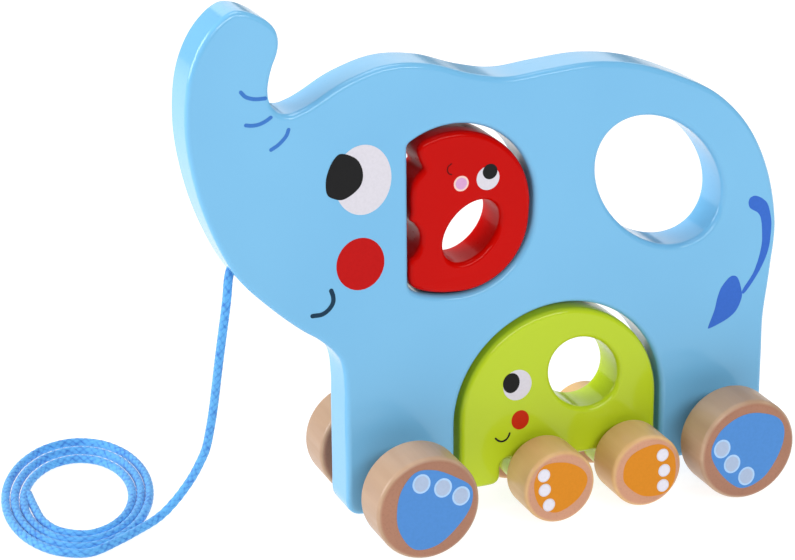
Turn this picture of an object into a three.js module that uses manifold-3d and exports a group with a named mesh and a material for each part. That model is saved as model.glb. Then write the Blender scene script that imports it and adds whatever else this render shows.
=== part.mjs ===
// A wooden pull along toy: a mother elephant cut from one board rolls on two axles,
// carries a calf elephant on wheels in the arch between its legs and a small baby
// elephant in a D-shaped cut-out, and is pulled by a cord from the edge of its trunk.
// Millimetres, +Z up, the head points along -X, the floor is z = 0.
import * as THREE from 'three';
import { mergeVertices } from 'three/addons/utils/BufferGeometryUtils.js';
import Module from 'manifold-3d';

const wasm = await Module();
wasm.setup();

// ---- driving dimensions -------------------------------------------------------------

const BOARD = 18;              // thickness of all three elephants
const ROUND = 2.2;             // radius of every sanded board edge
const ROUND_STEPS = 2;
const GAP = 0.3;               // clearance between neighbouring pieces

const BIG_WHEEL = { radius: 20, width: 18.5, outerFace: 38.5 };
const SMALL_WHEEL = { radius: 14.4, width: 18.5, outerFace: 30 };
const WHEEL_ROUND = 2.2;
const WHEEL_SIDES = 32;

const BIG_DOWEL = 4;           // radius of the mother's axles
const SMALL_DOWEL = 2.8;       // radius of the calf's axles
const DOWEL_SIDES = 20;
const DOWEL_DEPTH = 12;        // how far a dowel reaches into a wheel
const DOWEL_CHAMFER = 0.8;
const SPACER_RADIUS = 7.5;
const SPACER_SIDES = 24;

const FRONT_AXLE_X = -39.4;
const REAR_AXLE_X = 91.4;
const CALF_FRONT_AXLE_X = 17;
const CALF_REAR_AXLE_X = 53.3;

const LEG_BOTTOM = 7;          // underside of the mother's legs
const LEG_CORNER = 6;
const LEG_LEFT = -59.8;        // front edge of the mother's front leg
const LEG_RIGHT = 113.1;       // rear edge of the mother's rear leg

const ARCH = { x: 26.2, z: 36.15, radius: 42.9 };
const CALF_BODY = { x: 26.3, z: 35.9, radius: 40.7 };
const CALF_HOLE = { x: 36.4, z: 49.4, long: 15.6, short: 13.2, tilt: 136 };
const CALF_BELLY = { z: 16.3, corner: 3 };          // underside between the calf's legs
const CALF_LEG = { frontRight: 26.5, rearLeft: 44.5, bottom: 5.6, corner: 4.5 };
const CALF_TRUNK = { bottom: 9.4, right: 2.1, inner: 3.5, outer: 7 };
const NOTCH = { x: 5.3, z: 16.2, radius: 3.2 };     // slot between the calf's trunk and front leg

const DEN = { x: -17, z: 122.1, radius: 31.8, flat: -34.9, corner: 2.6 };
const DEN_FLOOR = { x: -14.4, z: 117.7, radius: 29.1 };    // the tighter curve under the den
const BABY_BODY = { x: -17.1, z: 120.7, radius: 30.5 };
const BABY_RUMP = { x: -13.5, z: 116.1, radius: 26.5 };    // the tighter curve of its rump
const BABY_BELLY = { x: -38.6, z: 112.4, radius: 8.8, half: 58 };
const BABY_FOOT = { hind: -34.5, front: -33.4 };    // how far each foot reaches towards the flat
const BABY_HOLE = { x: -9.9, z: 112.4, long: 13.2, short: 9.1, tilt: 47 };

const HANDLE_HOLE = { x: 66.2, z: 121.6, long: 30.3, short: 21.7, tilt: 136 };

const CORD = 3.2;              // diameter of the braided cord
const CORD_SIDES = 8;
const CORD_STEPS = 40;
const CORD_HOLE = { x: -99.4, z: 107.4, radius: 2.1, depth: 12, sides: 12 };
// centre line of the hanging cord, from inside the trunk to where it joins the coil
const CORD_ROUTE = [
  [-97.2, 0, 113.6], [-98.4, 0, 110.6], [-99.6, 0.1, 107.5], [-100.2, 0.6, 104], [-100.6, 1.3, 98],
  [-101.1, 2.2, 92], [-101.8, 3.8, 84], [-102.4, 5.8, 75.5], [-102.8, 8.2, 67], [-103.1, 10.9, 58],
  [-103.4, 13.8, 49], [-103.9, 17, 39.8], [-104.8, 20.2, 30.8], [-106.4, 23.2, 24.2],
  [-108.5, 26.2, 17.7], [-111.3, 29, 11.6], [-114.8, 30.5, 6.5], [-118.9, 30, 3.2],
  [-123.6, 27.4, 2], [-125.2, 26.3, 1.9],
];
// the rest of the cord lies beside the toy as an oval coil, one cord high
const COIL = { x: -144, z: 60.2, long: 52, short: 29, tilt: 76 };
const COIL_INSIDE = { x: -143.5, z: 59.5, long: 32.5, short: 18, tilt: 76 };

// ---- outline helpers: every outline is a list of points in the X-Z plane ----------------

const point = (x, z) => new THREE.Vector2(x, z);
const degrees = THREE.MathUtils.degToRad;

function arc(cx, cz, radius, from, to, steps) {
  const points = [];
  for (let i = 0; i <= steps; i++) {
    const a = degrees(from + (to - from) * i / steps);
    points.push(point(cx + radius * Math.cos(a), cz + radius * Math.sin(a)));
  }
  return points;
}

function oval({ x, z, long, short, tilt }, steps) {
  const t = degrees(tilt);
  const points = [];
  for (let i = 0; i < steps; i++) {
    const a = 2 * Math.PI * i / steps;
    const u = long * Math.cos(a);
    const v = short * Math.sin(a);
    points.push(point(x + u * Math.cos(t) - v * Math.sin(t), z + u * Math.sin(t) + v * Math.cos(t)));
  }
  return points;
}

function circle(x, z, radius, steps) {
  return oval({ x, z, long: radius, short: radius, tilt: 0 }, steps);
}

function smooth(pairs, steps) {
  const knots = pairs.map(([x, z]) => new THREE.Vector3(x, z, 0));
  const curve = new THREE.CatmullRomCurve3(knots, false, 'centripetal');
  return curve.getSpacedPoints(steps).map((p) => point(p.x, p.y));
}

// one closed outline, clockwise or not, without the doubled points where two stretches meet
function closed(points, clockwise) {
  const single = points.filter((p, i) => p.distanceTo(points[(i + 1) % points.length]) > 0.02);
  return THREE.ShapeUtils.isClockWise(single) === clockwise ? single : single.reverse();
}

// ---- solid helpers ----------------------------------------------------------------------

// a board with rounded edges, its outline in the X-Z plane and its thickness along Y
function board(outline, holes) {
  const shape = new THREE.Shape(closed(outline, true));
  shape.holes = holes.map((points) => new THREE.Path(closed(points, false)));
  const straight = BOARD - 2 * ROUND;
  const geometry = new THREE.ExtrudeGeometry(shape, {
    depth: straight,
    bevelEnabled: true,
    bevelThickness: ROUND,
    bevelSize: ROUND,
    bevelOffset: -ROUND,
    bevelSegments: ROUND_STEPS,
  });
  geometry.translate(0, 0, -straight / 2);
  geometry.rotateX(Math.PI / 2);
  return geometry;
}

function toManifold(geometry) {
  const bare = geometry.clone();
  bare.deleteAttribute('normal');
  bare.deleteAttribute('uv');
  const merged = mergeVertices(bare, 1e-4);
  return new wasm.Manifold(new wasm.Mesh({
    numProp: 3,
    vertProperties: merged.attributes.position.array,
    triVerts: Uint32Array.from(merged.index.array),
  }));
}

function fromManifold(solid) {
  const mesh = solid.getMesh();
  const geometry = new THREE.BufferGeometry();
  geometry.setAttribute('position', new THREE.BufferAttribute(Float32Array.from(mesh.vertProperties), 3));
  geometry.setIndex(new THREE.BufferAttribute(Uint32Array.from(mesh.triVerts), 1));
  geometry.computeVertexNormals();
  return geometry;
}

// a lathe turned about the Y axis, from [radius, y] pairs
function turned(profile, sides) {
  return new THREE.LatheGeometry(profile.map(([r, y]) => point(r, y)), sides);
}

// ---- the scene ----------------------------------------------------------------------------

const toy = new THREE.Group();

const paint = {
  blue: new THREE.MeshStandardMaterial({ color: 0x80c9f4, roughness: 0.4, metalness: 0 }),
  green: new THREE.MeshStandardMaterial({ color: 0xaeca2f, roughness: 0.4, metalness: 0 }),
  red: new THREE.MeshStandardMaterial({ color: 0xc40b00, roughness: 0.35, metalness: 0 }),
  wood: new THREE.MeshStandardMaterial({ color: 0xd8ad80, roughness: 0.6, metalness: 0 }),
  cord: new THREE.MeshStandardMaterial({ color: 0x4f9fe4, roughness: 0.9, metalness: 0 }),
};

function add(name, geometry, material, parent = toy) {
  const mesh = new THREE.Mesh(geometry, material);
  mesh.name = name;
  parent.add(mesh);
  return mesh;
}

// ---- mother elephant ------------------------------------------------------------------------

// from the front leg up the chin and trunk, over the head, back and rump to the rear leg
const MOTHER_TOP = [
  [LEG_LEFT, 48], [LEG_LEFT, 60], [-61.4, 70], [-67.9, 77.9], [-76.4, 84.2], [-88.4, 95],
  [-98.9, 106.6], [-107, 121.8], [-113.4, 141], [-116.6, 163], [-114.4, 183.5], [-107.6, 196.8],
  [-98.3, 203.8], [-90, 201.8], [-83.4, 196.4], [-82, 190], [-84.9, 181.5], [-86.3, 174],
  [-84.4, 167.6], [-79, 165.2], [-72, 167.2], [-58.4, 174.2], [-42, 178.6], [-26, 177.2],
  [-10, 171.8], [4, 168.9], [20, 169.9], [38, 170.6], [56, 167.8], [74, 161], [90, 152.2],
  [103, 138.8], [112, 121], [116.6, 98.5], [115.3, 80], [LEG_RIGHT, 60], [LEG_RIGHT, 48],
];

const archLeft = ARCH.x - ARCH.radius;
const archRight = ARCH.x + ARCH.radius;
const corner = (x, from) => arc(x, LEG_BOTTOM + LEG_CORNER, LEG_CORNER, from, from - 90, 4);

const motherOutline = [
  ...smooth(MOTHER_TOP, 118),
  ...corner(LEG_RIGHT - LEG_CORNER, 0),
  ...corner(archRight + LEG_CORNER, -90),
  ...arc(ARCH.x, ARCH.z, ARCH.radius, 0, 180, 30),
  ...corner(archLeft - LEG_CORNER, 0),
  ...corner(LEG_LEFT + LEG_CORNER, -90),
];

// the D-shaped den: a round roof and a tighter round floor, cut off by an upright flat on the head's side
function denOutline() {
  const { x, z, radius, flat, corner: r } = DEN;
  const cornerX = flat + r;
  const cornerZ = Math.sqrt((radius - r) ** 2 - (cornerX - x) ** 2);
  const meet = THREE.MathUtils.radToDeg(Math.atan2(cornerZ, cornerX - x));
  return [
    ...arc(x, z, radius, meet, 0, 20),
    ...arc(DEN_FLOOR.x, DEN_FLOOR.z, DEN_FLOOR.radius, -6, -90, 14),
    ...smooth([[-20, 88.9], [-25, 89.8], [-30.2, 91.3], [-33.4, 93], [-34.6, 94.6], [flat, 97]], 8),
    ...arc(cornerX, z + cornerZ, r, 180, meet, 4).slice(0, -1),
  ];
}

const motherHoles = [
  denOutline(),
  oval(HANDLE_HOLE, 40),
  circle(FRONT_AXLE_X, BIG_WHEEL.radius, BIG_DOWEL + GAP, DOWEL_SIDES),
  circle(REAR_AXLE_X, BIG_WHEEL.radius, BIG_DOWEL + GAP, DOWEL_SIDES),
];

// a blind hole drilled up into the lower edge of the trunk holds the cord
const cordHoleAxis = new THREE.Vector3(0.35, 0, 0.94).normalize();
function cordDrill() {
  const { radius, depth, sides } = CORD_HOLE;
  const drill = new THREE.CylinderGeometry(radius, radius, 2 * depth, sides);
  drill.applyQuaternion(new THREE.Quaternion().setFromUnitVectors(new THREE.Vector3(0, 1, 0), cordHoleAxis));
  drill.translate(CORD_HOLE.x, 0, CORD_HOLE.z);
  return drill;
}

const mother = toManifold(board(motherOutline, motherHoles)).subtract(toManifold(cordDrill()));
add('mother_elephant', fromManifold(mother), paint.blue);

// ---- calf elephant ----------------------------------------------------------------------------

const calfLeft = CALF_BODY.x - CALF_BODY.radius;
const calfRight = CALF_BODY.x + CALF_BODY.radius;
const { corner: belly } = CALF_BELLY;
const { inner, outer } = CALF_TRUNK;
const calfFoot = (x, from) => arc(x, CALF_LEG.bottom + CALF_LEG.corner, CALF_LEG.corner, from, from - 90, 4);

const calfOutline = [
  ...arc(CALF_BODY.x, CALF_BODY.z, CALF_BODY.radius, 180, 0, 34),
  ...calfFoot(calfRight - CALF_LEG.corner, 0),
  ...calfFoot(CALF_LEG.rearLeft + CALF_LEG.corner, -90),
  ...arc(CALF_LEG.rearLeft - belly, CALF_BELLY.z - belly, belly, 0, 90, 4),
  ...arc(CALF_LEG.frontRight + belly, CALF_BELLY.z - belly, belly, 90, 180, 4),
  ...calfFoot(CALF_LEG.frontRight - CALF_LEG.corner, 0),
  ...calfFoot(NOTCH.x + NOTCH.radius + CALF_LEG.corner, -90),
  ...arc(NOTCH.x, NOTCH.z, NOTCH.radius, 0, 180, 8),
  ...arc(CALF_TRUNK.right - inner, CALF_TRUNK.bottom + inner, inner, 0, -90, 4),
  ...arc(calfLeft + outer, CALF_TRUNK.bottom + outer, outer, -90, -180, 5),
];

const calfHoles = [
  oval(CALF_HOLE, 32),
  circle(CALF_FRONT_AXLE_X, SMALL_WHEEL.radius, SMALL_DOWEL + GAP, DOWEL_SIDES),
  circle(CALF_REAR_AXLE_X, SMALL_WHEEL.radius, SMALL_DOWEL + GAP, DOWEL_SIDES),
];

add('calf_elephant', board(calfOutline, calfHoles), paint.green);

// ---- baby elephant: lies with its back to the right and its feet on the den's flat ---------------

const onBaby = (angle) => [
  BABY_BODY.x + BABY_BODY.radius * Math.cos(degrees(angle)),
  BABY_BODY.z + BABY_BODY.radius * Math.sin(degrees(angle)),
];

const babyOutline = [
  // round back, from the trunk over the head to the rump
  ...arc(BABY_BODY.x, BABY_BODY.z, BABY_BODY.radius, 112, 0, 22),
  ...arc(BABY_RUMP.x, BABY_RUMP.z, BABY_RUMP.radius, -8, -95, 14),
  // hind foot
  ...smooth([[-20, 90], [-25, 90.9], [-30, 92.5], [-32.8, 94.1], [-34.1, 96], [BABY_FOOT.hind, 98.3]], 8),
  // belly hollow between the feet
  ...arc(BABY_BELLY.x, BABY_BELLY.z, BABY_BELLY.radius, -BABY_BELLY.half, BABY_BELLY.half, 10),
  // front foot and the notch under the trunk
  ...smooth([[BABY_FOOT.front, 122.6], [BABY_FOOT.front, 130.3], [-32.2, 134.8], [-28.6, 138.7]], 9),
  // trunk
  ...smooth([[-29.7, 141.3], [-30.7, 144.6], [-30.5, 147.1], onBaby(112)], 6).slice(0, -1),
];

add('baby_elephant', board(babyOutline, [oval(BABY_HOLE, 32)]), paint.red);

// ---- wheels, axles and spacers -----------------------------------------------------------------

// a turned wheel with its outer face at y = 0, its inner face at y = width and a blind bore
function wheelGeometry({ radius, width }, dowel) {
  const r = WHEEL_ROUND;
  const diagonal = r * (1 - Math.SQRT1_2);
  const bore = dowel + GAP;
  const floor = width - DOWEL_DEPTH - GAP;
  return turned([
    [0, 0], [radius - r, 0], [radius - diagonal, diagonal], [radius, r],
    [radius, width - r], [radius - diagonal, width - diagonal], [radius - r, width],
    [bore, width], [bore, floor], [0, floor],
  ], WHEEL_SIDES);
}

function dowelGeometry(radius, length) {
  const c = DOWEL_CHAMFER;
  const half = length / 2;
  return turned([
    [0, -half], [radius - c, -half], [radius, -half + c],
    [radius, half - c], [radius - c, half], [0, half],
  ], DOWEL_SIDES);
}

function spacerGeometry(bore, radius, length) {
  return turned([[bore, 0], [radius, 0], [radius, length], [bore, length], [bore, 0]], SPACER_SIDES);
}

function addAxle(prefix, x, wheel, dowel) {
  const axle = new THREE.Group();
  axle.position.set(x, 0, wheel.radius);
  toy.add(axle);
  const length = 2 * (wheel.outerFace - wheel.width + DOWEL_DEPTH);
  add(`${prefix}_axle`, dowelGeometry(dowel, length), paint.wood, axle);
  const near = add(`${prefix}_wheel_near`, wheelGeometry(wheel, dowel), paint.wood, axle);
  near.position.y = -wheel.outerFace;
  const far = add(`${prefix}_wheel_far`, wheelGeometry(wheel, dowel), paint.wood, axle);
  far.rotation.x = Math.PI;
  far.position.y = wheel.outerFace;
  return axle;
}

// the mother's wheels stand clear of the board, held off by a turned collar on each side
function addSpacers(prefix, axle) {
  const from = BOARD / 2 + GAP;
  const length = BIG_WHEEL.outerFace - BIG_WHEEL.width - GAP - from;
  for (const [side, y] of [['near', -from - length], ['far', from]]) {
    const geometry = spacerGeometry(BIG_DOWEL + GAP, SPACER_RADIUS, length);
    add(`${prefix}_spacer_${side}`, geometry, paint.wood, axle).position.y = y;
  }
}

addSpacers('front', addAxle('front', FRONT_AXLE_X, BIG_WHEEL, BIG_DOWEL));
addSpacers('rear', addAxle('rear', REAR_AXLE_X, BIG_WHEEL, BIG_DOWEL));
addAxle('calf_front', CALF_FRONT_AXLE_X, SMALL_WHEEL, SMALL_DOWEL);
addAxle('calf_rear', CALF_REAR_AXLE_X, SMALL_WHEEL, SMALL_DOWEL);

// ---- pull cord ------------------------------------------------------------------------------------

function cordGeometry() {
  const knots = CORD_ROUTE.map((p) => new THREE.Vector3(...p));
  const path = new THREE.CatmullRomCurve3(knots, false, 'centripetal');
  const section = new THREE.Shape(circle(0, 0, CORD / 2, CORD_SIDES));
  return new THREE.ExtrudeGeometry(section, { steps: CORD_STEPS, extrudePath: path });
}

// the outer shape of the coiled turns, flat on the floor
function coilGeometry() {
  const shape = new THREE.Shape(closed(oval(COIL, 40), true));
  shape.holes = [new THREE.Path(closed(oval(COIL_INSIDE, 32), false))];
  return new THREE.ExtrudeGeometry(shape, { depth: CORD, bevelEnabled: false });
}

add('pull_cord', cordGeometry(), paint.cord);
add('cord_coil', coilGeometry(), paint.cord);

export default toy;
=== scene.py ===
"""A wooden pull along toy: three painted elephant boards, natural wood wheels and a braided cord.

Lengths in this script are in millimetres until they reach Blender, which works in metres;
only the floor and the lights are set out in metres from the start.
X runs from the trunk to the tail, Y away from the printed side and Z up; the floor is z = 0.
"""
import math

import bmesh
import bpy
from mathutils import Matrix, Vector


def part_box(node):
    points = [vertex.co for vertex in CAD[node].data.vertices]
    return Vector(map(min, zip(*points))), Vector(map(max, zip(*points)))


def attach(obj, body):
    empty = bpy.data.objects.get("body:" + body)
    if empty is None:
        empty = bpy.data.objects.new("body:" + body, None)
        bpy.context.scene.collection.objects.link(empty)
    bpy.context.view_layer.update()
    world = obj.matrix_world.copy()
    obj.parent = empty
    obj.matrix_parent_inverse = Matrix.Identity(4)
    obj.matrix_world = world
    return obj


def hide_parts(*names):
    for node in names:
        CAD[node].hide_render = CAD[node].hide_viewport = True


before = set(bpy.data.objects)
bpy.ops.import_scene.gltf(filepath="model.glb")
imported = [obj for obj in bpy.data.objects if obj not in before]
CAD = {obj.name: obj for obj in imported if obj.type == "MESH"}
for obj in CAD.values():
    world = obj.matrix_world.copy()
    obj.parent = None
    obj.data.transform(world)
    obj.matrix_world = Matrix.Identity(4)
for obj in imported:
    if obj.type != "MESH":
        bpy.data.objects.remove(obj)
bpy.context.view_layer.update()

MM = 0.001


# ---- small helpers ---------------------------------------------------------------------------


def linear(r, g, b):
    """An sRGB colour of 0 to 255 as Blender's linear colour."""
    channels = [v / 255 for v in (r, g, b)]
    return tuple(v / 12.92 if v <= 0.04045 else ((v + 0.055) / 1.055) ** 2.4 for v in channels) + (1.0,)


def dimmed(colour, share):
    """A colour with a share of its light."""
    return tuple(share * c for c in colour[:3]) + (1.0,)


def catmull(points, per_span, closed=True):
    """A centripetal Catmull-Rom curve through the points, per_span samples on each span."""
    count = len(points)
    vectors = [Vector(p) for p in points]
    if not closed:
        vectors = [2 * vectors[0] - vectors[1]] + vectors + [2 * vectors[-1] - vectors[-2]]
    spans = range(count) if closed else range(1, count)
    curve = []
    for i in spans:
        p = [vectors[(i + k) % len(vectors)] for k in (-1, 0, 1, 2)]
        knots = [0.0]
        for a, b in zip(p, p[1:]):
            knots.append(knots[-1] + max((b - a).length, 1e-9) ** 0.5)
        for step in range(per_span):
            t = knots[1] + (knots[2] - knots[1]) * step / per_span
            curve.append(blossom(p, knots, t))
    if not closed:
        curve.append(vectors[-2])
    return curve


def blossom(p, knots, t):
    """The point at t on one centripetal Catmull-Rom span."""
    def between(a, b, ta, tb):
        return a * ((tb - t) / (tb - ta)) + b * ((t - ta) / (tb - ta))

    first = [between(p[i], p[i + 1], knots[i], knots[i + 1]) for i in range(3)]
    second = [between(first[i], first[i + 1], knots[i], knots[i + 2]) for i in range(2)]
    return between(second[0], second[1], knots[1], knots[2])


def spaced(points, step):
    """The same closed line with points an even distance of about step apart."""
    lengths = [0.0]
    ring = list(points) + [points[0]]
    for a, b in zip(ring, ring[1:]):
        lengths.append(lengths[-1] + (b - a).length)
    count = max(8, round(lengths[-1] / step))
    out = []
    j = 0
    for i in range(count):
        want = lengths[-1] * i / count
        while lengths[j + 1] < want:
            j += 1
        share = (want - lengths[j]) / (lengths[j + 1] - lengths[j])
        out.append(ring[j].lerp(ring[j + 1], share))
    return out


def area(points):
    """Signed area of a closed outline, above 0 when it runs counter-clockwise."""
    return sum(a[0] * b[1] - b[0] * a[1] for a, b in zip(points, points[1:] + points[:1])) / 2


def piece(name, mesh, material, body, replaces=()):
    """Puts a mesh in the scene as a piece that rides on a body."""
    mesh.materials.append(material)
    obj = bpy.data.objects.new(name, mesh)
    bpy.context.scene.collection.objects.link(obj)
    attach(obj, body)
    if replaces:
        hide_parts(*replaces)
    return obj


def smooth_mesh(name, vertices, normals, faces):
    """A mesh from millimetre vertices, with its vertex normals given exactly."""
    mesh = bpy.data.meshes.new(name)
    mesh.from_pydata([tuple(Vector(v) * MM) for v in vertices], [], faces)
    mesh.update()
    for polygon in mesh.polygons:
        polygon.use_smooth = True
    mesh.normals_split_custom_set_from_vertices([tuple(Vector(n).normalized()) for n in normals])
    return mesh


# ---- camera ----------------------------------------------------------------------------------

CAMERA_AT = Vector((-366.5, -824.8, 431.3))
CAMERA_AZIMUTH = -21.85
CAMERA_ELEVATION = 20.75
CAMERA_ROLL = -0.48
CAMERA_LENS = 118.1
SENSOR = 36.0


def make_camera():
    """Places the camera from its azimuth, elevation and roll, and makes it the scene's camera."""
    azimuth, elevation, roll = (math.radians(a) for a in (CAMERA_AZIMUTH, CAMERA_ELEVATION, CAMERA_ROLL))
    back = Vector((
        math.sin(azimuth) * math.cos(elevation),
        -math.cos(azimuth) * math.cos(elevation),
        math.sin(elevation),
    ))
    right = Vector((0, 0, 1)).cross(back).normalized()
    up = back.cross(right)
    turned_right = math.cos(roll) * right + math.sin(roll) * up
    turned_up = -math.sin(roll) * right + math.cos(roll) * up
    data = bpy.data.cameras.new("camera")
    data.lens = CAMERA_LENS
    data.sensor_width = SENSOR
    camera = bpy.data.objects.new("camera", data)
    bpy.context.scene.collection.objects.link(camera)
    place = Matrix((turned_right, turned_up, back)).transposed().to_4x4()
    place.translation = CAMERA_AT * MM
    camera.matrix_world = place
    bpy.context.scene.camera = camera


make_camera()


# ---- materials -------------------------------------------------------------------------------


def new_material(name):
    """A material, its node tree and its Principled shader."""
    material = bpy.data.materials.new(name)
    material.use_nodes = True
    tree = material.node_tree
    return material, tree, tree.nodes["Principled BSDF"]


def add(tree, kind, inputs=(), **settings):
    """Adds a shader node, sets it up and returns it. inputs are pairs of socket and value or link."""
    node = tree.nodes.new("ShaderNode" + kind)
    for key, value in settings.items():
        setattr(node, key, value)
    for key, value in dict(inputs).items():
        if isinstance(value, bpy.types.NodeSocket):
            tree.links.new(value, node.inputs[key])
        else:
            node.inputs[key].default_value = value
    return node


def stretched(tree, scale):
    """Object coordinates scaled by an amount for each axis."""
    place = add(tree, "TexCoord").outputs["Object"]
    return add(tree, "Mapping", {"Vector": place, "Scale": scale}).outputs["Vector"]


def noise(tree, vector, scale=1.0, detail=3.0, roughness=0.5):
    """Noise over the coordinates, a value that varies about 0.5."""
    inputs = {"Vector": vector, "Scale": scale, "Detail": detail, "Roughness": roughness}
    return add(tree, "TexNoise", inputs).outputs["Fac"]


def remap(tree, value, low, high, to_low, to_high):
    """The value moved from the range low to high into the range to_low to to_high, and kept inside it."""
    inputs = {"Value": value, 1: low, 2: high, 3: to_low, 4: to_high}
    return add(tree, "MapRange", inputs).outputs["Result"]


def mix(tree, factor, a, b):
    """Colour mix of a and b, each a colour or a link."""
    return add(tree, "Mix", {0: factor, 6: a, 7: b}, data_type="RGBA").outputs[2]


def bump(tree, bsdf, height, distance_mm, below=None):
    """Lifts the surface by distance_mm where height is 1, on top of the bump below if there is one."""
    inputs = {"Height": height, "Distance": distance_mm * MM, "Strength": 1.0}
    if below is not None:
        inputs["Normal"] = below
    out = add(tree, "Bump", inputs).outputs["Normal"]
    tree.links.new(out, bsdf.inputs["Normal"])
    return out


PAINT_ROUGHNESS = 0.3


def painted(name, face, shade, coat):
    """Painted board: even colour with a faint cloud, the wood's grain just showing, under a clear coat."""
    material, tree, bsdf = new_material(name)
    cloud = noise(tree, stretched(tree, (14, 14, 14)), detail=2)
    colour = mix(tree, remap(tree, cloud, 0.35, 0.65, 0.0, 1.0), face, shade)
    tree.links.new(colour, bsdf.inputs["Base Color"])
    streaks = noise(tree, stretched(tree, (35, 500, 900)), detail=4, roughness=0.6)
    peel = noise(tree, stretched(tree, (300, 300, 300)), detail=2)
    rough = remap(tree, streaks, 0.3, 0.7, PAINT_ROUGHNESS - 0.04, PAINT_ROUGHNESS + 0.05)
    tree.links.new(rough, bsdf.inputs["Roughness"])
    grain = bump(tree, bsdf, streaks, 0.01)
    bump(tree, bsdf, peel, 0.015, below=grain)
    bsdf.inputs["Specular IOR Level"].default_value = 0.02
    bsdf.inputs["Coat Weight"].default_value = coat
    bsdf.inputs["Coat Roughness"].default_value = 0.12
    return material


def ink(name, colour):
    """Screen-printed ink: a flat colour broken by a very fine speckle, duller than the paint."""
    material, tree, bsdf = new_material(name)
    speckle = noise(tree, stretched(tree, (900, 900, 900)), detail=2)
    darker = dimmed(colour, 0.9)
    tint = mix(tree, remap(tree, speckle, 0.35, 0.75, 0.0, 0.6), colour, darker)
    tree.links.new(tint, bsdf.inputs["Base Color"])
    tree.links.new(remap(tree, speckle, 0.3, 0.7, 0.42, 0.55), bsdf.inputs["Roughness"])
    bump(tree, bsdf, speckle, 0.02)
    bsdf.inputs["Specular IOR Level"].default_value = 0.1
    return material


def natural_wood(name, light, warm, face):
    """Turned wood with its grain along Y, so that the treads show it and the faces are end grain."""
    material, tree, bsdf = new_material(name)
    place = stretched(tree, (1, 0.1, 1))
    bands = noise(tree, place, scale=90, detail=2)
    fine = noise(tree, stretched(tree, (520, 18, 520)), detail=3)
    colour = mix(tree, remap(tree, bands, 0.36, 0.64, 0.0, 1.0), light, warm)
    colour = mix(tree, remap(tree, fine, 0.35, 0.75, 0.0, 0.22), colour, warm)
    facing = add(tree, "SeparateXYZ", {0: add(tree, "TexCoord").outputs["Normal"]}).outputs["Y"]
    size = add(tree, "Math", {0: facing}, operation="ABSOLUTE").outputs[0]
    on_face = remap(tree, size, 0.72, 0.97, 0.0, 1.0)
    growth = noise(tree, stretched(tree, (1, 1, 1)), scale=45, detail=3)
    pores = noise(tree, stretched(tree, (1200, 1200, 1200)), detail=2)
    end = mix(tree, remap(tree, growth, 0.35, 0.65, 0.0, 0.55), face, dimmed(face, 0.82))
    end = mix(tree, remap(tree, pores, 0.5, 0.75, 0.0, 0.3), end, dimmed(face, 0.6))
    tree.links.new(mix(tree, on_face, colour, end), bsdf.inputs["Base Color"])
    tree.links.new(remap(tree, fine, 0.3, 0.7, 0.4, 0.52), bsdf.inputs["Roughness"])
    fibres = bump(tree, bsdf, fine, 0.04)
    bump(tree, bsdf, pores, 0.02, below=fibres)
    bsdf.inputs["Specular IOR Level"].default_value = 0.3
    bsdf.inputs["Coat Weight"].default_value = 0.2
    bsdf.inputs["Coat Roughness"].default_value = 0.18
    return material


def braided_cord():
    """Soft spun yarn with fine fibres; painted shade makes it darker in the braid's hollows and painted
    light makes it lighter on its crowns.
    """
    material, tree, bsdf = new_material("blue_cord")
    crown = add(tree, "Attribute", attribute_name="braid").outputs["Fac"]
    fibre = noise(tree, stretched(tree, (1600, 1600, 1600)), detail=3)
    patch = noise(tree, stretched(tree, (260, 260, 260)), detail=2)
    worn = remap(tree, patch, 0.3, 0.7, -0.3, 0.3)
    # painted shade and painted light: the braid's height darkens the blue in its hollows and lightens it on
    # its crowns, with random patches added on top
    braid_shade_and_patches = add(tree, "Math", {0: crown, 1: worn}, operation="ADD").outputs[0]
    colour = mix(tree, remap(tree, braid_shade_and_patches, 0.1, 0.8, 0.0, 1.0), linear(48, 112, 196), linear(92, 172, 232))
    colour = mix(tree, remap(tree, fibre, 0.35, 0.65, 0.0, 0.25), colour, linear(66, 140, 214))
    tree.links.new(colour, bsdf.inputs["Base Color"])
    bsdf.inputs["Roughness"].default_value = 0.85
    bsdf.inputs["Sheen Weight"].default_value = 0.3
    bsdf.inputs["Sheen Roughness"].default_value = 0.4
    bump(tree, bsdf, fibre, 0.08)
    return material


BLUE = painted("blue_paint", linear(117, 184, 225), linear(113, 180, 222), 0.75)
GREEN = painted("green_paint", linear(184, 207, 36), linear(180, 203, 34), 0.6)
RED = painted("red_paint", linear(192, 5, 0), linear(186, 4, 0), 0.15)
WOOD = natural_wood("natural_wood", linear(192, 160, 132), linear(175, 142, 115), linear(167, 117, 92))
WOOD_SMALL = natural_wood(
    "natural_wood_small", linear(230, 189, 134), linear(212, 168, 112), linear(206, 150, 119)
)
CORD_YARN = braided_cord()
INK = {
    "white": ink("white_ink", linear(214, 211, 220)),
    "black": ink("black_ink", linear(30, 30, 31)),
    "orange": ink("orange_ink", linear(214, 135, 34)),
    "dark_blue": ink("dark_blue_ink", linear(57, 106, 199)),
    "line_blue": ink("line_blue_ink", linear(62, 118, 194)),
    "paw_blue": ink("paw_blue_ink", linear(80, 138, 206)),
    "toe_blue": ink("toe_blue_ink", linear(170, 187, 214)),
    "toe_rim": ink("toe_rim_ink", linear(172, 206, 240)),
    "toe_white": ink("toe_white_ink", linear(226, 224, 236)),
    "cream": ink("cream_ink", linear(238, 206, 196)),
    "navy": ink("navy_ink", linear(28, 56, 78)),
    "red": ink("red_ink", linear(186, 14, 14)),
    "orange_red": ink("orange_red_ink", linear(190, 42, 14)),
    "dark_red": ink("dark_red_ink", linear(96, 4, 4)),
    "pink": ink("pink_ink", linear(212, 160, 204)),
}


# ---- pull cord -------------------------------------------------------------------------------

CORD_DIAMETER = 3.4
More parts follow.
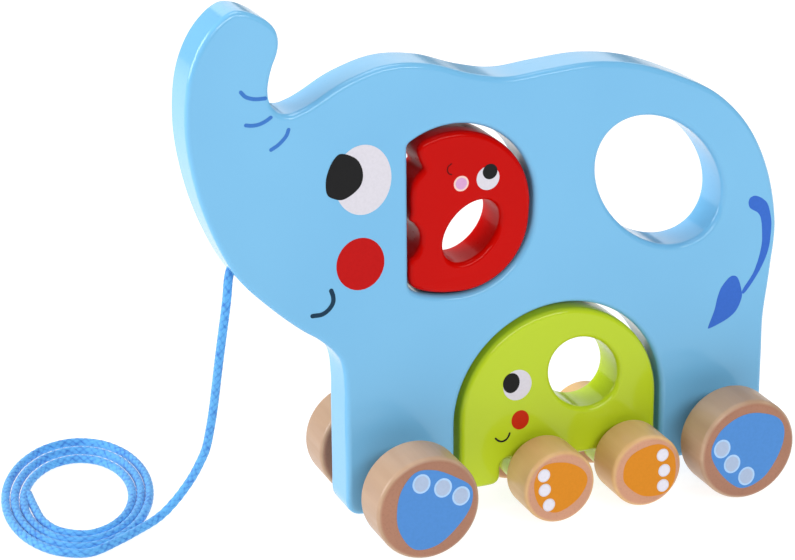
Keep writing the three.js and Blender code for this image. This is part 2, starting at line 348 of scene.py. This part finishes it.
# from inside the trunk down to the floor, where the coil takes over
CORD_ROUTE = [
    (-97.2, 0, 113.6), (-98.4, 0, 110.6), (-99.6, 0.1, 107.5), (-100.2, 0.6, 104), (-100.6, 1.3, 98),
    (-101.1, 2.2, 92), (-101.8, 3.8, 84), (-102.4, 5.8, 75.5), (-102.8, 8.2, 67), (-103.1, 10.9, 58),
    (-103.4, 13.8, 49), (-103.9, 17, 39.8), (-104.8, 20.2, 30.8), (-106.4, 23.2, 24.2),
    (-108.5, 26.2, 17.7), (-111.3, 29, 11.6), (-114.8, 30.5, 6.5), (-118.9, 30, 3.2),
    (-123.6, 27.4, 2), (-131.4, 22.4, 1.8), (-139.8, 17.2, 1.8),
]
# the free end leaves the innermost turn and lies straight against it
CORD_TAIL = [(-158.6, 32.5, 1.8), (-162.2, 42.6, 1.8), (-162.2, 56.5, 1.8), (-161.4, 69.3, 1.8)]
COIL = {
    "centre": (-142.9, 62.0), "drift": (-0.3, -1.5), "tilt": 76.0, "start": 184.0, "turns": 3.0,
    "long": 51.8, "long_shrink": 6.6, "short": 29.1, "short_shrink": 3.4, "height": 1.8,
}
POINTS_PER_TURN = 16


def coil_points():
    """An oval spiral on the floor, each turn a little smaller than the last."""
    tilt = math.radians(COIL["tilt"])
    points = []
    for i in range(int(POINTS_PER_TURN * COIL["turns"]) + 1):
        turn = i / POINTS_PER_TURN
        angle = math.radians(COIL["start"] - 360 * turn)
        along = (COIL["long"] - COIL["long_shrink"] * turn) * math.cos(angle)
        across = (COIL["short"] - COIL["short_shrink"] * turn) * math.sin(angle)
        x, y = (c + d * turn for c, d in zip(COIL["centre"], COIL["drift"]))
        points.append((
            x + along * math.cos(tilt) - across * math.sin(tilt),
            y + along * math.sin(tilt) + across * math.cos(tilt),
            COIL["height"],
        ))
    return points


BRAID_SIDES = 32
BRAID_STEP = 0.4          # distance between the tube's rings
CORD_END_ROUND = 0.9      # length over which each end narrows to half its thickness
ROUTE_STEPS = 24          # points between two points of the route
BRAID_STRANDS = 4         # strands that run each way round
BRAID_LAY = 14.0          # length in which a strand goes once round
BRAID_RELIEF = 0.2


def braid(along, around):
    """Height of the braid's surface, 0 in the hollows and 1 on a strand's crown; around is 0 to 1."""
    left = BRAID_STRANDS * (around + along / BRAID_LAY)
    right = BRAID_STRANDS * (around - along / BRAID_LAY)
    left_part, right_part = left % 1, right % 1
    if (math.floor(left) + math.floor(right)) % 2:
        left_part, right_part = right_part, left_part
    return (1 - (2 * left_part - 1) ** 2) ** 0.5 * (0.55 + 0.45 * math.sin(math.pi * right_part))


def make_cord():
    """One braided tube along the whole route, in place of the CAD cord and coil."""
    route = catmull(CORD_ROUTE + coil_points() + CORD_TAIL, ROUTE_STEPS, closed=False)
    lengths = [0.0]
    for a, b in zip(route, route[1:]):
        lengths.append(lengths[-1] + (b - a).length)
    count = round(lengths[-1] / BRAID_STEP)
    centres = []
    j = 0
    for i in range(count + 1):
        want = min(lengths[-1] * i / count, lengths[-1] - 1e-6)
        while lengths[j + 1] < want:
            j += 1
        centres.append(route[j].lerp(route[j + 1], (want - lengths[j]) / (lengths[j + 1] - lengths[j])))
    vertices, heights = [], []
    side = Vector((0, 1, 0))
    for i, centre in enumerate(centres):
        ahead = (centres[min(i + 1, count)] - centres[max(i - 1, 0)]).normalized()
        side = (side - ahead * side.dot(ahead)).normalized()
        other = ahead.cross(side)
        along = lengths[-1] * i / count
        from_end = min(along, lengths[-1] - along)
        short_of_full = max(0.0, 1 - from_end / CORD_END_ROUND)
        rounding = 0.5 + 0.5 * math.sqrt(max(0.0, 1 - short_of_full ** 2))
        for k in range(BRAID_SIDES):
            around = k / BRAID_SIDES
            height = braid(along, around)
            radius = (CORD_DIAMETER / 2 - BRAID_RELIEF * (1 - height)) * rounding
            angle = 2 * math.pi * around
            vertices.append(centre + radius * (math.cos(angle) * side + math.sin(angle) * other))
            heights.append(height)
    faces = []
    for i in range(count):
        for k in range(BRAID_SIDES):
            a, b = i * BRAID_SIDES + k, i * BRAID_SIDES + (k + 1) % BRAID_SIDES
            faces.append((a, b, b + BRAID_SIDES, a + BRAID_SIDES))
    faces.append(tuple(reversed(range(BRAID_SIDES))))
    faces.append(tuple(count * BRAID_SIDES + k for k in range(BRAID_SIDES)))
    mesh = bpy.data.meshes.new("pull_cord")
    mesh.from_pydata([tuple(v * MM) for v in vertices], [], faces)
    mesh.update()
    for polygon in mesh.polygons:
        polygon.use_smooth = len(polygon.vertices) == 4
    attribute = mesh.attributes.new("braid", "FLOAT", "POINT")
    attribute.data.foreach_set("value", heights)
    cord = piece("braided_cord", mesh, CORD_YARN, "root", ["pull_cord", "cord_coil"])


make_cord()


# ---- boards ----------------------------------------------------------------------------------

BOARD = 18.0
ROUND = 2.2
ROUND_STEPS = 6
OUTLINE_STEP = 0.9
NORMAL_REACH = 2.4        # how far along the outline a rounded edge takes its direction from
LONGEST_FACET = 5.5       # a longer straight of the CAD outline is divided before it is rounded out
SAME_PLACE = 1e-6         # metres within which two CAD vertices are one
SAME_LEVEL = 0.01


def wall_loops(node):
    """The closed outlines of a board's upright wall, as (x, z) points, read from its CAD mesh."""
    level = BOARD / 2 - ROUND
    bm = bmesh.new()
    bm.from_mesh(CAD[node].data)
    bmesh.ops.remove_doubles(bm, verts=bm.verts, dist=SAME_PLACE)
    on_rim = {v for v in bm.verts if abs(v.co.y / MM - level) < SAME_LEVEL}
    beside = {v: [] for v in on_rim}
    for edge in bm.edges:
        a, b = edge.verts
        if a in on_rim and b in on_rim:
            beside[a].append(b)
            beside[b].append(a)
    loops = []
    left = {v for v in on_rim if len(beside[v]) == 2}
    while left:
        start = min(left, key=lambda v: (v.co.x, v.co.z))
        loop, v = [], start
        while v in left:
            left.discard(v)
            loop.append((v.co.x / MM, v.co.z / MM))
            v = next((n for n in beside[v] if n in left), start)
        loops.append(loop)
    bm.free()
    return [loop for loop in loops if len(loop) > 8]


def fine_outline(loop):
    """A CAD outline with its facets rounded out, points an even small step apart."""
    dense = []
    for a, b in zip(loop, loop[1:] + loop[:1]):
        a, b = Vector(a), Vector(b)
        parts = max(1, math.floor((b - a).length / LONGEST_FACET))
        dense += [a.lerp(b, i / parts) for i in range(parts)]
    return spaced(catmull([(p.x, p.y, 0) for p in dense], 8), OUTLINE_STEP)


def outward(points):
    """Unit normals of a closed outline, averaged over NORMAL_REACH so that tight corners stay open."""
    count = len(points)
    raw = []
    for i in range(count):
        along = points[(i + 1) % count] - points[i - 1]
        raw.append(Vector((along.y, -along.x, 0)).normalized())
    reach = round(NORMAL_REACH / OUTLINE_STEP)
    return [
        sum((raw[(i + k) % count] for k in range(-reach, reach + 1)), Vector((0, 0, 0))).normalized()
        for i in range(count)
    ]


def board_mesh(name, node):
    """A board with rounded edges, from the outlines of its CAD node."""
    loops = sorted((fine_outline(loop) for loop in wall_loops(node)), key=lambda l: -abs(area(l)))
    vertices, normals, faces = [], [], []
    rims = {-1: [], 1: []}
    profile = []              # (inset, y, the normal's share along the outline's own, and along Y)
    for side in (-1, 1):
        angles = [90 * i / ROUND_STEPS for i in range(ROUND_STEPS + 1)]
        for angle in (reversed(angles) if side < 0 else angles):
            a = math.radians(angle)
            y = side * (BOARD / 2 - ROUND + ROUND * math.sin(a))
            profile.append((ROUND * (1 - math.cos(a)), y, math.cos(a), side * math.sin(a)))
    for number, points in enumerate(loops):
        counter_clockwise = area(points) > 0
        if counter_clockwise != (number == 0):
            points = points[::-1]
        away = outward(points)
        count, base = len(points), len(vertices)
        for inset, y, wall, face in profile:
            for p, n in zip(points, away):
                vertices.append((p.x - n.x * inset, y, p.y - n.y * inset))
                normals.append((n.x * wall, face, n.y * wall))
        for ring in range(len(profile) - 1):
            for i in range(count):
                a = base + ring * count + i
                b = base + ring * count + (i + 1) % count
                faces.append((a, a + count, b + count, b))
        rims[-1].append([base + i for i in range(count)])
        rims[1].append([base + (len(profile) - 1) * count + i for i in range(count)])
    for side, rings in rims.items():
        faces += fill(vertices, rings, side)
    return smooth_mesh(name, vertices, normals, faces)


def fill(vertices, rings, side):
    """Triangles of a flat face between its rim and the rims of its holes, facing along side times Y."""
    bm = bmesh.new()
    edges, index = [], {}
    for ring in rings:
        verts = []
        for i in ring:
            v = bm.verts.new(vertices[i])
            index[v] = i
            verts.append(v)
        edges += [bm.edges.new((a, b)) for a, b in zip(verts, verts[1:] + verts[:1])]
    bmesh.ops.triangle_fill(bm, edges=edges, use_beauty=True, use_dissolve=False, normal=(0, side, 0))
    triangles = []
    for face in bm.faces:
        face.normal_update()
        ids = [index[v] for v in face.verts]
        triangles.append(tuple(ids if face.normal.y * side > 0 else reversed(ids)))
    bm.free()
    return triangles


for board, material, body, slot in (
    ("mother_elephant", BLUE, "root", "blue_paint"),
    ("calf_elephant", GREEN, "calf", "green_paint"),
    ("baby_elephant", RED, "baby", "red_paint"),
):
    piece(board + "_board", board_mesh(board + "_board", board), material, body, [board])


# ---- wheels, axles and spacers ---------------------------------------------------------------

LATHE_SIDES = 128
WHEEL_ROUND = 2.2
DOWEL_CHAMFER = 0.8


def turned(name, centre, profile):
    """A solid turned about an axis along Y through centre (x, z), from (radius, y, angle) rows.

    The angle is that of the surface's normal from the outward radius, towards +Y, in degrees."""
    x, z = centre
    vertices, normals, faces = [], [], []
    for radius, y, angle in profile:
        a = math.radians(angle)
        for k in range(LATHE_SIDES):
            t = 2 * math.pi * k / LATHE_SIDES
            vertices.append((x + radius * math.sin(t), y, z + radius * math.cos(t)))
            normals.append((math.cos(a) * math.sin(t), math.sin(a), math.cos(a) * math.cos(t)))
    last = (len(profile) - 1) * LATHE_SIDES
    for here in range(0, last, LATHE_SIDES):
        after = here + LATHE_SIDES
        for k in range(LATHE_SIDES):
            beyond = (k + 1) % LATHE_SIDES
            faces.append((here + k, here + beyond, after + beyond, after + k))
    faces.append(tuple(reversed(range(LATHE_SIDES))))
    faces.append(tuple(range(last, last + LATHE_SIDES)))
    return smooth_mesh(name, vertices, normals, faces)


def rounded_profile(radius, low, high, r):
    """Profile of a disc from y = low to y = high with both edges rounded by r."""
    rows = [(radius - r, low, -90)]
    for i in range(1, ROUND_STEPS + 1):
        a = math.radians(-90 + 90 * i / ROUND_STEPS)
        rows.append((radius - r + r * math.cos(a), low + r + r * math.sin(a), math.degrees(a)))
    for i in range(ROUND_STEPS):
        a = math.radians(90 * i / ROUND_STEPS)
        rows.append((radius - r + r * math.cos(a), high - r + r * math.sin(a), math.degrees(a)))
    rows.append((radius - r, high, 90))
    return rows


def centre_of(node):
    """The middle of a CAD node, as (x, z)."""
    low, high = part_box(node)
    return ((low.x + high.x) / 2 / MM, (low.z + high.z) / 2 / MM)


def replace_turned(node, body, r, wood):
    """Makes a CAD disc or dowel again as a smooth lathe, its edges rounded by r."""
    low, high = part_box(node)
    radius = (high.z - low.z) / 2 / MM
    mesh = turned(node + "_turned", centre_of(node), rounded_profile(radius, low.y / MM, high.y / MM, r))
    piece(node + "_turned", mesh, wood, body, [node])


for axle in ("front", "rear", "calf_front", "calf_rear"):
    wood = WOOD_SMALL if axle.startswith("calf") else WOOD
    replace_turned(axle + "_axle", axle + "_axle", DOWEL_CHAMFER, wood)
    for side in ("near", "far"):
        replace_turned(f"{axle}_wheel_{side}", axle + "_axle", WHEEL_ROUND, wood)
for axle in ("front", "rear"):
    for side in ("near", "far"):
        replace_turned(f"{axle}_spacer_{side}", "root", DOWEL_CHAMFER, WOOD)


# ---- prints ----------------------------------------------------------------------------------

INK_LAYER = 0.05          # how far each printed layer stands above what it is printed on
INK_DEPTH = 0.04          # how far it is sunk in, so that nothing shows behind it
OVAL_SIDES = 72
CURVE_STEPS = 10          # points between two points of a printed outline, and in half a round end
BOARD_FACE = BOARD / 2
BIG_FACE = -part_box("front_wheel_near")[0].y / MM
SMALL_FACE = -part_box("calf_front_wheel_near")[0].y / MM


def oval(x, z, across, up):
    """An ellipse from its half widths along X and Z."""
    angles = [2 * math.pi * i / OVAL_SIDES for i in range(OVAL_SIDES)]
    return [(x + across * math.cos(a), z + up * math.sin(a)) for a in angles]


def smooth_shape(points):
    """A closed smooth outline through the points."""
    return [(p.x, p.y) for p in catmull([(x, z, 0) for x, z in points], CURVE_STEPS)]


def stroke(points, width):
    """A line of even width with round ends."""
    line = catmull([(x, z, 0) for x, z in points], CURVE_STEPS, closed=False)
    left, right = [], []
    last = len(line) - 1
    for i, p in enumerate(line):
        along = (line[min(i + 1, last)] - line[max(i - 1, 0)]).normalized()
        normal = Vector((-along.y, along.x, 0))
        left.append(p + normal * width / 2)
        right.append(p - normal * width / 2)

    def round_end(centre, first):
        arm = first - centre
        return [
            centre + Matrix.Rotation(-math.pi * k / CURVE_STEPS, 3, "Z") @ arm
            for k in range(1, CURVE_STEPS)
        ]

    outline = left + round_end(line[-1], left[-1]) + right[::-1] + round_end(line[0], right[0])
    return [(p.x, p.y) for p in outline]


def print_ink(name, outline, colour, face, level, body):
    """Prints an outline in the X-Z plane on both faces at y = -face and y = +face, a thin layer thick."""
    if area(outline) < 0:
        outline = outline[::-1]
    count = len(outline)
    for side, label in ((-1, "near"), (1, "far")):
        inner, outer = side * (face - INK_DEPTH), side * (face + INK_LAYER * level)
        vertices = [(x, y, z) for y in (inner, outer) for x, z in outline]
        faces = []
        for i in range(count):
            j = (i + 1) % count
            wall = (i, j, count + j, count + i)
            faces.append(wall if side < 0 else wall[::-1])
        faces += fill(vertices, [list(range(count))], -side)
        faces += fill(vertices, [list(range(count, 2 * count))], side)
        mesh = bpy.data.meshes.new(f"{name}_{label}")
        mesh.from_pydata([tuple(Vector(v) * MM) for v in vertices], [], faces)
        mesh.update()
        piece(f"{name}_{label}", mesh, INK[colour], body)


def print_mother():
    """Her eye, cheek and smile, three creases on the trunk, and the tail with its tuft."""
    def on_board(name, outline, colour, level=1):
        print_ink("mother_" + name, outline, colour, BOARD_FACE, level, "root")

    on_board("eye_white", oval(-52.2, 138, 10.8, 13), "white")
    pupil = [(-60.7, 148.7), (-54.5, 146), (-52.2, 140.6), (-53.4, 135.7), (-59.7, 131.7), (-63.5, 132.5),
             (-65.7, 134.2), (-66.2, 139.2), (-64.8, 144), (-62.9, 147.1)]
    on_board("pupil", smooth_shape(pupil), "black", 2)
    on_board("cheek", oval(-53.6, 106.5, 9.2, 9.9), "red")
    smile = [(-64.9, 98), (-64.2, 95.6), (-64.3, 93.4), (-65.8, 91.1), (-68.4, 89.5), (-72.2, 89.4)]
    on_board("smile", stroke(smile, 1.7), "navy")
    top = [(-96.6, 175.5), (-95.1, 173.8), (-93.3, 172.9), (-91.2, 172.4), (-87.8, 172.3)]
    middle = [(-95.1, 163.5), (-93, 163.1), (-90.6, 163.2), (-88.1, 164), (-86, 165.2)]
    low = [(-79.6, 160), (-80.3, 158.2), (-81.6, 156.6), (-83.6, 154.9), (-86.2, 153.5)]
    for name, line in (("top", top), ("middle", middle), ("low", low)):
        on_board("trunk_line_" + name, stroke(line, 1.4), "line_blue")
    tail_outer = [(103.9, 108.2), (104.5, 109.9), (106.1, 110.6), (107.9, 110.2), (110.1, 108.9),
                  (112.2, 106.6), (114.1, 99.8), (114.2, 95.7), (113.3, 87.8), (109.7, 79.6), (103.2, 71.4)]
    tail_inner = [(102.6, 72.2), (107.5, 79.9), (110.2, 89.2), (110.4, 94.3), (109.4, 101.5),
                  (108, 103.7), (106.3, 104.8), (104.6, 106.1)]
    on_board("tail", smooth_shape(tail_outer + tail_inner), "dark_blue")
    tuft = [(99.1, 79.4), (100.5, 78.4), (102.4, 73), (102.7, 70.4), (100.5, 65.1), (97.4, 62.5),
            (93.1, 60.6), (88.5, 59.3), (88.4, 59.5), (91, 66.6), (92.1, 71.5), (93.6, 75.4), (97.4, 79.3)]
    on_board("tail_tuft", smooth_shape(tuft), "dark_blue")


def print_calf():
    """The calf's eye, cheek and smile."""
    def on_calf(name, outline, colour, level=1):
        print_ink("calf_" + name, outline, colour, BOARD_FACE, level, "calf")

    on_calf("eye_white", oval(8.5, 49.2, 5.8, 6.1), "white")
    on_calf("pupil", oval(6, 50.4, 3.4, 4), "black", 2)
    on_calf("cheek", oval(9.8, 34.8, 3.6, 3.9), "orange_red")
    smile = [(-0.3, 28.9), (0.7, 27.9), (2.3, 27.2), (4.0, 27.7), (5.1, 29), (5.5, 30.1)]
    on_calf("smile", stroke(smile, 0.75), "black")


def print_baby():
    """The baby's eye, cheek and smile."""
    def on_baby(name, outline, colour, level=1):
        print_ink("baby_" + name, outline, colour, BOARD_FACE, level, "baby")

    on_baby("eye_white", oval(-3.9, 132.3, 4.5, 4.5), "white")
    on_baby("pupil", oval(-3.1, 134.7, 2.9, 2.9), "black", 2)
    on_baby("cheek_rim", oval(-14.4, 131.6, 2.9, 2.9), "cream")
    on_baby("cheek", oval(-14.4, 131.6, 2.2, 2.2), "pink", 2)
    smile = [(-18.2, 139.6), (-19.5, 138.6), (-19.8, 137.4), (-19.3, 136.1), (-18.2, 135.5)]
    on_baby("smile", stroke(smile, 0.5), "dark_red")


BIG_TOE = (3.5, 3.8)      # half widths along X and Z
SMALL_TOE = (2.5, 2.6)
# the inks are those of the pad, the toes' rims and the toes; rim is how wide a toe's rim is
PAWS = {
    "front": {
        "ink": ("paw_blue", "toe_rim", "toe_blue"), "toe": BIG_TOE, "rim": 0.75,
        "pad": [(-52.2, 19.9), (-50.4, 29.2), (-44.8, 35.5), (-37.6, 35.2), (-29.2, 30.9), (-23, 25.8),
                (-23, 18.9), (-28.7, 10.8), (-37.1, 4.9), (-45.5, 5.1), (-51.1, 12.8)],
        "toes": [(-42.6, 30.7), (-34.2, 27.6), (-27.1, 23.1)],
    },
    "rear": {
        "ink": ("paw_blue", "toe_rim", "toe_blue"), "toe": BIG_TOE, "rim": 0.75,
        "pad": [(75.4, 22), (78.2, 29), (82.9, 32.9), (88.9, 35.1), (95.1, 34.9), (103.8, 31.3),
                (106.5, 26.5), (105.7, 18.9), (100, 9.1), (95.2, 5.8), (90.9, 4.7), (87.1, 5.5),
                (78.9, 13.6)],
        "toes": [(80, 22.7), (84.5, 15.7), (90.9, 9.5)],
    },
    "calf_front": {
        "ink": ("orange", "white", "toe_white"), "toe": SMALL_TOE, "rim": 0.5,
        "pad": [(6.1, 18.3), (9.7, 24.4), (18.6, 24.5), (26.2, 20.1), (28, 15.6), (24.3, 8.8),
                (15.5, 4.6), (8.6, 8.3)],
        "toes": [(10, 20.7), (10.4, 14.7), (12.2, 8.3)],
    },
    "calf_rear": {
        "ink": ("orange", "white", "toe_white"), "toe": SMALL_TOE, "rim": 0.5,
        "pad": [(42.9, 15.3), (44.2, 20.2), (48.3, 23.6), (58.1, 25), (63.9, 20.2), (64.6, 8.9),
                (61.2, 4.5), (51.6, 4.7), (43.7, 11.4)],
        "toes": [(59.3, 20.3), (60.2, 13.8), (59.8, 7.6)],
    },
}


def print_paws():
    """A pad and three rimmed toes on both faces of every wheel."""
    for axle, paw in PAWS.items():
        face = SMALL_FACE if axle.startswith("calf") else BIG_FACE
        pad, rim, toe = paw["ink"]
        across, up = paw["toe"]
        body = axle + "_axle"
        print_ink(axle + "_paw", smooth_shape(paw["pad"]), pad, face, 1, body)
        for i, (x, z) in enumerate(paw["toes"]):
            name = f"{axle}_toe_{i + 1}"
            print_ink(name + "_rim", oval(x, z, across, up), rim, face, 2, body)
            print_ink(name, oval(x, z, across - paw["rim"], up - paw["rim"]), toe, face, 3, body)


print_mother()
print_calf()
print_baby()
print_paws()


# ---- floor and light -------------------------------------------------------------------------


FLOOR_SIZE = 12           # metres


def make_stage():
    """A plain pale floor, bright enough of itself to stay white."""
    bpy.ops.mesh.primitive_plane_add(size=FLOOR_SIZE, location=(0, 0, 0))
    floor = bpy.context.object
    floor.name = "floor"
    material, tree, bsdf = new_material("floor")
    bsdf.inputs["Base Color"].default_value = (0.3, 0.3, 0.3, 1)
    bsdf.inputs["Roughness"].default_value = 0.8
    bsdf.inputs["Specular IOR Level"].default_value = 0.1
    bsdf.inputs["Emission Color"].default_value = (1, 1, 1, 1)
    bsdf.inputs["Emission Strength"].default_value = 0.85
    floor.data.materials.append(material)


def area_light(name, at, towards, size, power):
    """A soft box of size (width, height) in metres."""
    data = bpy.data.lights.new(name, "AREA")
    data.shape = "RECTANGLE"
    data.size, data.size_y = size
    data.energy = power
    light = bpy.data.objects.new(name, data)
    bpy.context.scene.collection.objects.link(light)
    light.location = at
    light.rotation_euler = (Vector(towards) - Vector(at)).to_track_quat("-Z", "Y").to_euler()


def make_light():
    """A faint white surround and four soft boxes."""
    world = bpy.data.worlds.new("studio")
    world.use_nodes = True
    tree = world.node_tree
    background = tree.nodes["Background"]
    background.inputs["Color"].default_value = (1, 1, 1, 1)
    # the backdrop itself is white, though it lights the toy only faintly
    seen = add(tree, "LightPath").outputs["Is Camera Ray"]
    strength = add(tree, "Math", {0: seen, 1: 0.85, 2: 0.15}, operation="MULTIPLY_ADD").outputs[0]
    tree.links.new(strength, background.inputs["Strength"])
    bpy.context.scene.world = world
    subject = (0, 0, 0.09)
    area_light("key", (0, -1.3, 0.85), subject, (1.5, 0.3), 14.2)
    area_light("left", (-1.5, 0.55, 0.7), subject, (1.1, 1.0), 27)
    area_light("back", (0.5, 1.35, 0.75), subject, (1.6, 0.9), 5.5)
    area_light("top", (0.1, 0.1, 1.6), subject, (0.8, 0.8), 10)
    bpy.context.scene.view_settings.view_transform = "Standard"


make_stage()
make_light()
